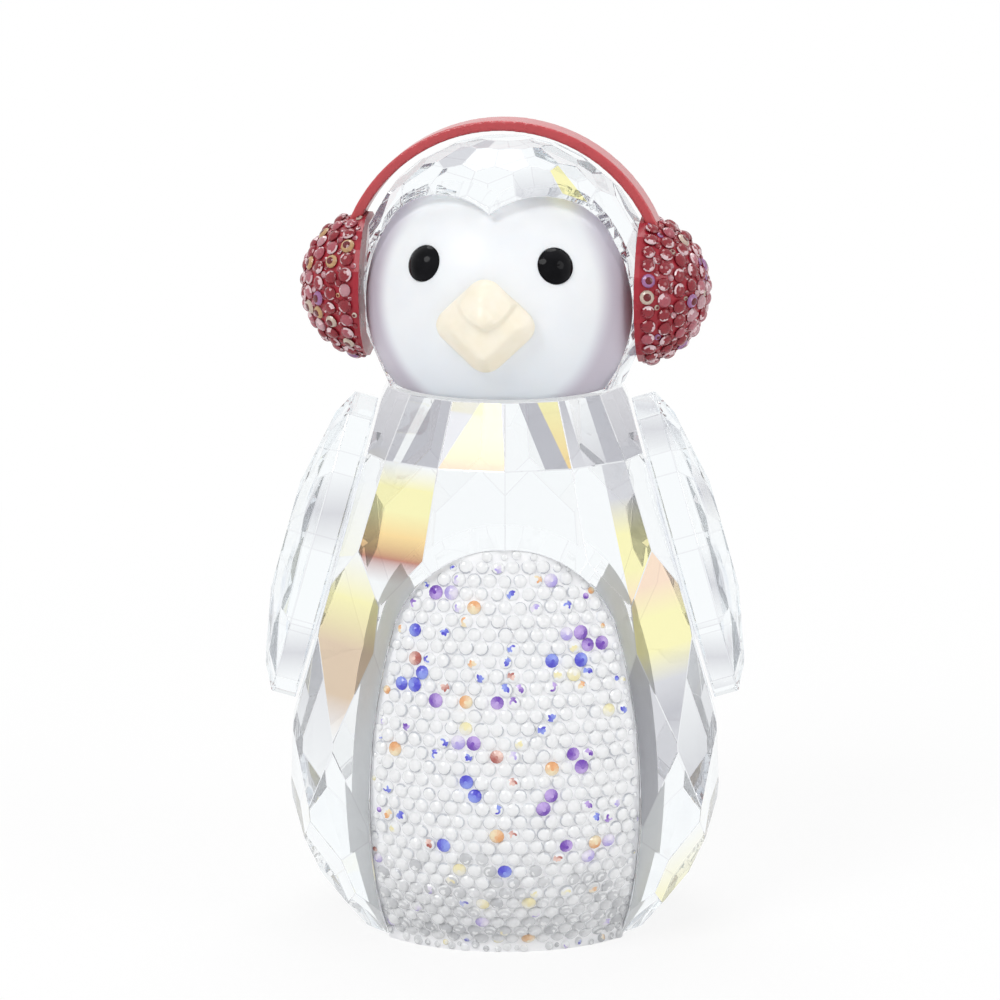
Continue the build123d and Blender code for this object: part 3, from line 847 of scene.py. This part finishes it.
def belly_finish(draw, place):
    """Clear stone with a painted grey shade arc along its rim, or one with painted fire all over or off its
    middle.
    """
    low = place[0].z + draw.uniform(-LOW_SPREAD, LOW_SPREAD) < LOW_BELLY
    painted_flash = pick(draw, LOW_PAINTED_FIRE if low else BELLY_PAINTED_FIRE)
    part = draw.random() < PART_FLASH
    clear = blend(BELLY_CLEAR, LOW_GREY, draw.random() if low else 0.0)
    # Low stones get a painted white highlight arc, the others a painted grey shade arc
    painted_rim_arc = BELLY_CLEAR if low else blend(*BELLY_SHADE_ARCS, draw.random())
    sides = draw.randint(*ARC_SIDES)
    start = draw.randrange(STONE_SIDES)

    def finish(zone, index):
        turn = (index - start) % STONE_SIDES
        if zone == "girdle":
            return BELLY_GIRDLE, 0
        # Painted shade and highlight across a stone, from its deep colour on one side to its light colour
        # on the other
        lightness = (1 - math.cos(math.tau * turn / STONE_SIDES)) / 2
        in_heart = zone == "heart" and turn < HEART_SIDES
        in_crown = zone == "crown" and sides - CROWN_SIDES <= turn < sides
        if painted_flash and (in_heart or in_crown or not part):
            return blend(*painted_flash, lightness), 0
        # A low stone gets a painted white glint on part of its heart
        if low and zone == "heart" and turn < sides:
            return BELLY_CLEAR, 0
        return painted_rim_arc if zone == "rim" and turn < sides else clear, 0

    return finish


def rose_finish(draw, place):
    """Red stone with a pale painted crescent of highlight on its rim, or a painted bright crown round a
    dark heart.
    """
    on_top = abs(place[1].x) > ROSE_TOP
    tone_and_painted_light = pick(draw, ROSE_TOP_TINTS if on_top else ROSE_TINTS)
    girdle = blend(ROSE_DEEP, tone_and_painted_light, ROSE_TOP_GIRDLE) if on_top else ROSE_DEEP
    painted_flash = pick(draw, ROSE_PAINTED_FLASHES)
    sides = draw.randint(*ARC_SIDES)
    start = draw.randrange(STONE_SIDES)

    def finish(zone, index):
        turn = (index - start) % STONE_SIDES
        if zone == "girdle":
            return girdle, 0
        # A stone with a painted reflection has a painted dark heart and a bright crown
        if painted_flash and zone == "heart":
            return ROSE_DEEP, 0
        if painted_flash:
            return painted_flash, 0
        # The painted highlight crescent lies along part of the rim and across the crown
        crescent = (sides - CRESCENT_SIDES) // 2 <= turn < (sides + CRESCENT_SIDES) // 2
        if (zone == "rim" and turn < sides) or (zone == "crown" and crescent):
            return ROSE_HIGHLIGHT, 1
        return tone_and_painted_light, 0

    return finish


def set_stones(node_name, name, materials, palette, bed, outward, keep_off, seed):
    """All the stones of a node, each where the node has it, and smaller ones in the gaps between them."""
    made = bmesh.new()
    layer = made.loops.layers.float_color.new("tint_and_painted_light")
    draw = random.Random(seed)
    places = stone_frames(node_name)
    places += fillers(bed, places, outward, keep_off, draw)
    for place in places:
        loose = loosen(place, draw)
        add_stone(made, layer, loose, palette(draw, loose), draw)
    return add_piece(mesh_from(made, name), name, materials, node_name)


# Smooth bed of the belly: edges over this length are divided where its faces look to the front
BED_GRAIN = 0.7 * MM
BED_CUTS = 8
BED_FRONT = -0.3


def smooth_bed(material):
    """Bed of the belly with its short cones rounded out to the line on which the stones sit."""
    centres = [place[0] for place in stone_frames("belly_stones")]
    rows = sorted((centre.z, math.hypot(centre.x, centre.y)) for centre in centres)

    def radius_at(height):
        index = 0
        while index < len(rows) - 2 and rows[index + 1][0] < height:
            index += 1
        (low, inner), (high, outer) = rows[index], rows[index + 1]
        return inner if high - low < WELD else inner + (outer - inner) * (height - low) / (high - low)

    made = bmesh.new()
    made.from_mesh(nodes["belly_pad"].data)
    bmesh.ops.remove_doubles(made, verts=made.verts, dist=WELD)
    made.normal_update()
    front = [face for face in made.faces if face.normal.y < BED_FRONT]
    long_edges = {edge for face in front for edge in face.edges if edge.calc_length() > BED_GRAIN}
    bmesh.ops.subdivide_edges(made, edges=list(long_edges), cuts=BED_CUTS, use_grid_fill=True)
    made.normal_update()
    touched = {vertex for face in made.faces if face.normal.y < BED_FRONT for vertex in face.verts}
    for vertex in touched:
        reach = radius_at(vertex.co.z) ** 2 - vertex.co.x**2
        vertex.co.y = min(vertex.co.y, -math.sqrt(max(reach, 0.0)))
    for face in made.faces:
        face.smooth = face.normal.y < BED_FRONT
    for edge in made.edges:
        edge.smooth = all(face.smooth for face in edge.link_faces)
    name = "belly_bed"
    return add_piece(mesh_from(made, name), name, [material], "belly_pad")


def seen_by_glass(tree):
    """Light paths that show the background: the camera's own, and those that glass and gloss send on."""
    path = node(tree, "ShaderNodeLightPath")
    first = node(tree, "ShaderNodeMath", operation="MAXIMUM")
    link(tree, path.outputs["Is Camera Ray"], first.inputs[0])
    link(tree, path.outputs["Is Glossy Ray"], first.inputs[1])
    both = node(tree, "ShaderNodeMath", operation="MAXIMUM")
    link(tree, first.outputs[0], both.inputs[0])
    link(tree, path.outputs["Is Transmission Ray"], both.inputs[1])
    return path, both.outputs[0]


def front_shade(tree, path, value, limits):
    """White for the camera; for glass, grey on the front side that turns white towards the back."""
    shift = node(tree, "ShaderNodeMapRange")
    shift.inputs["From Min"].default_value = limits[0]
    shift.inputs["From Max"].default_value = limits[1]
    link(tree, value, shift.inputs["Value"])
    front = ramp(tree, shift.outputs["Result"], grey(FRONT_GREY), grey(1.0), start=0.0, end=1.0)
    either = node(tree, "ShaderNodeMix", data_type="RGBA")
    either.inputs["B"].default_value = (1, 1, 1, 1)
    link(tree, path.outputs["Is Camera Ray"], either.inputs["Factor"])
    link(tree, front.outputs["Color"], either.inputs["A"])
    return either.outputs["Result"]


def coordinate(tree, kind, axis):
    place = node(tree, "ShaderNodeTexCoord")
    split = node(tree, "ShaderNodeSeparateXYZ")
    link(tree, place.outputs[kind], split.inputs[0])
    return split.outputs[axis]


def surroundings():
    """White world, which glass sees greyer on its front side."""
    world = bpy.data.worlds.new("studio")
    scene.world = world
    world.use_nodes = True
    tree = world.node_tree
    tree.nodes.clear()
    path, seen = seen_by_glass(tree)
    light = node(tree, "ShaderNodeBackground")
    light.inputs["Color"].default_value = (1, 1, 1, 1)
    light.inputs["Strength"].default_value = WORLD_LIGHT
    white = node(tree, "ShaderNodeBackground")
    white.inputs["Strength"].default_value = 1.0
    shade = front_shade(tree, path, coordinate(tree, "Generated", "Y"), WORLD_FRONT)
    link(tree, shade, white.inputs["Color"])
    mix = node(tree, "ShaderNodeMixShader")
    link(tree, seen, mix.inputs["Fac"])
    link(tree, light.outputs[0], mix.inputs[1])
    link(tree, white.outputs[0], mix.inputs[2])
    out = node(tree, "ShaderNodeOutputWorld")
    link(tree, mix.outputs[0], out.inputs["Surface"])


def lay_floor():
    """White floor that keeps a soft shadow near the object."""
    bpy.ops.mesh.primitive_plane_add(size=FLOOR_SIZE)
    floor = bpy.context.object
    floor.name = "floor"
    material, tree, shader = new_material("floor")
    shader.inputs["Base Color"].default_value = (*grey(FLOOR_GREY), 1)
    shader.inputs["Roughness"].default_value = FLOOR_ROUGHNESS
    shader.inputs["Specular IOR Level"].default_value = 0.0
    glow = node(tree, "ShaderNodeEmission")
    glow.inputs["Strength"].default_value = 1.0
    path, seen = seen_by_glass(tree)
    shade = front_shade(tree, path, coordinate(tree, "Object", "Y"), FLOOR_FRONT)
    link(tree, shade, glow.inputs["Color"])
    place = node(tree, "ShaderNodeTexCoord")
    away = node(tree, "ShaderNodeVectorMath", operation="LENGTH")
    link(tree, place.outputs["Object"], away.inputs[0])
    fade = smooth_share(tree, away.outputs["Value"], FLOOR_FADE)
    fade.inputs["To Min"].default_value = FLOOR_WHITE[0]
    fade.inputs["To Max"].default_value = FLOOR_WHITE[1]
    share = node(tree, "ShaderNodeMath", operation="MULTIPLY")
    link(tree, fade.outputs["Result"], share.inputs[1])
    link(tree, seen, share.inputs[0])
    mix = node(tree, "ShaderNodeMixShader")
    link(tree, share.outputs[0], mix.inputs["Fac"])
    link(tree, shader.outputs["BSDF"], mix.inputs[1])
    link(tree, glow.outputs["Emission"], mix.inputs[2])
    link(tree, mix.outputs["Shader"], tree.nodes["Material Output"].inputs["Surface"])
    floor.data.materials.append(material)


def hang_lamps():
    """Soft round lamps, which show as glints in gloss but not behind the glass."""
    for name, place, size, power in LAMPS:
        lamp = bpy.data.lights.new(name, "AREA")
        lamp.shape = "DISK"
        lamp.size = size
        lamp.energy = power
        holder = bpy.data.objects.new(name, lamp)
        holder.location = place
        holder.rotation_mode = "QUATERNION"
        holder.rotation_quaternion = (CAMERA_TARGET - Vector(place)).to_track_quat("-Z", "Y")
        holder.visible_transmission = False
        scene.collection.objects.link(holder)


def set_camera():
    camera = bpy.data.cameras.new("camera")
    camera.lens = CAMERA_LENS
    camera.sensor_width = CAMERA_SENSOR
    camera.shift_x, camera.shift_y = CAMERA_SHIFT
    camera.clip_start = CAMERA_CLIP
    back = Vector((0, -math.cos(CAMERA_ELEVATION), math.sin(CAMERA_ELEVATION)))
    holder = bpy.data.objects.new("camera", camera)
    holder.location = CAMERA_TARGET + back * CAMERA_DISTANCE
    holder.rotation_mode = "QUATERNION"
    holder.rotation_quaternion = (-back).to_track_quat("-Z", "Y")
    scene.collection.objects.link(holder)
    scene.camera = holder
    scene.view_settings.view_transform = "Standard"
    scene.cycles.max_bounces = PATH_BOUNCES
    scene.cycles.transmission_bounces = PATH_BOUNCES
    scene.cycles.glossy_bounces = GLOSSY_BOUNCES
    scene.cycles.transparent_max_bounces = TRANSPARENT_BOUNCES


def dress(node_name, material):
    """Gives a CAD node, whose shape stays, its finish."""
    slots = nodes[node_name].data.materials
    slots.clear()
    slots.append(material)


# Cut glass
crystal = glass_material("cut_crystal", grain=900.0, polish=(0.0, 0.012), index=1.55, transmission=1.0)
hood = glass_material("cut_hood", grain=900.0, polish=(0.0, 0.012), index=1.2, transmission=1.0)
ground = glass_material("ground_crystal", grain=1500.0, polish=(0.4, 0.6), index=1.5, transmission=0.2)
cut_crystal("body_crystal", [crystal, ground], LOOSE_PAINTED_LIGHT, seed=31, touching="belly_pad")
cut_crystal("left_wing", [crystal], WING_PAINTED_LIGHT, seed=41)
cut_crystal("right_wing", [crystal], WING_PAINTED_LIGHT, seed=42)
cut_crystal("head_crystal", [hood], HOOD_PAINTED_LIGHT, seed=14, touching="face_plate")

# Stones and their beds
clear_stone = glass_material("clear_stone", grain=2500.0, polish=(0.04, 0.1), index=1.5, transmission=0.12)
rose_stone = glass_material("rose_stone", grain=2500.0, polish=(0.02, 0.06), index=1.5, transmission=0.5)
rose_highlight = glass_material("rose_highlight", grain=2500.0, polish=(0.04, 0.1), index=1.5, transmission=0.3)
pale = coated_material(
    "pale_resin", tones=((0.92, 0.93, 0.95), (0.97, 0.97, 0.98)), roughness=0.6, grain=1500.0, bump=0.3
)
belly_bed = smooth_bed(pale)
set_stones(
    "belly_stones", "belly_stone_field", [clear_stone], belly_finish,
    belly_bed.data, lambda normal: -normal.y, "body_crystal", seed=5,
)
for side, sign, seed in (("left", 1, 21), ("right", -1, 22)):
    set_stones(
        f"{side}_muff_stones", f"{side}_muff_stone_field", [rose_stone, rose_highlight],
        rose_finish, nodes[f"{side}_muff"].data, lambda normal: sign * normal.x, "headband", seed,
    )

# Bonds
bond = bond_material()
for name in ("neck_bond", "left_wing_bond", "right_wing_bond", "left_muff_bond", "right_muff_bond"):
    dress(name, bond)

# Face, eyes and beak
dress("face_plate", face_material())
black = coated_material(
    "black_glass", tones=((0.003, 0.003, 0.004), (0.008, 0.008, 0.01)),
    roughness=0.08, grain=900.0, specular=0.08,
)
dress("left_eye", black)
dress("right_eye", black)
cream = coated_material(
    "cream_opal", tones=((0.93, 0.85, 0.69), (0.97, 0.90, 0.77)),
    roughness=0.4, grain=700.0, bump=0.05, coat=0.1, subsurface=0.2,
)
shape_beak(softened("beak", "beak_soft", cream, grain=0.07 * MM, rounds=130))

# Earmuffs
lacquer = coated_material(
    "red_lacquer", tones=((0.50, 0.05, 0.06), (0.55, 0.06, 0.07)),
    roughness=0.3, grain=800.0, bump=0.04, coat=0.3,
)
softened("headband", "headband_soft", lacquer, grain=0.1 * MM, rounds=6)
red = coated_material(
    "red_resin", tones=((0.32, 0.015, 0.028), (0.40, 0.022, 0.038)),
    roughness=0.3, grain=900.0, bump=0.2, coat=0.1, specular=0.3,
)
dress("left_muff", red)
dress("right_muff", red)

# Studio
surroundings()
lay_floor()
hang_lamps()
set_camera()
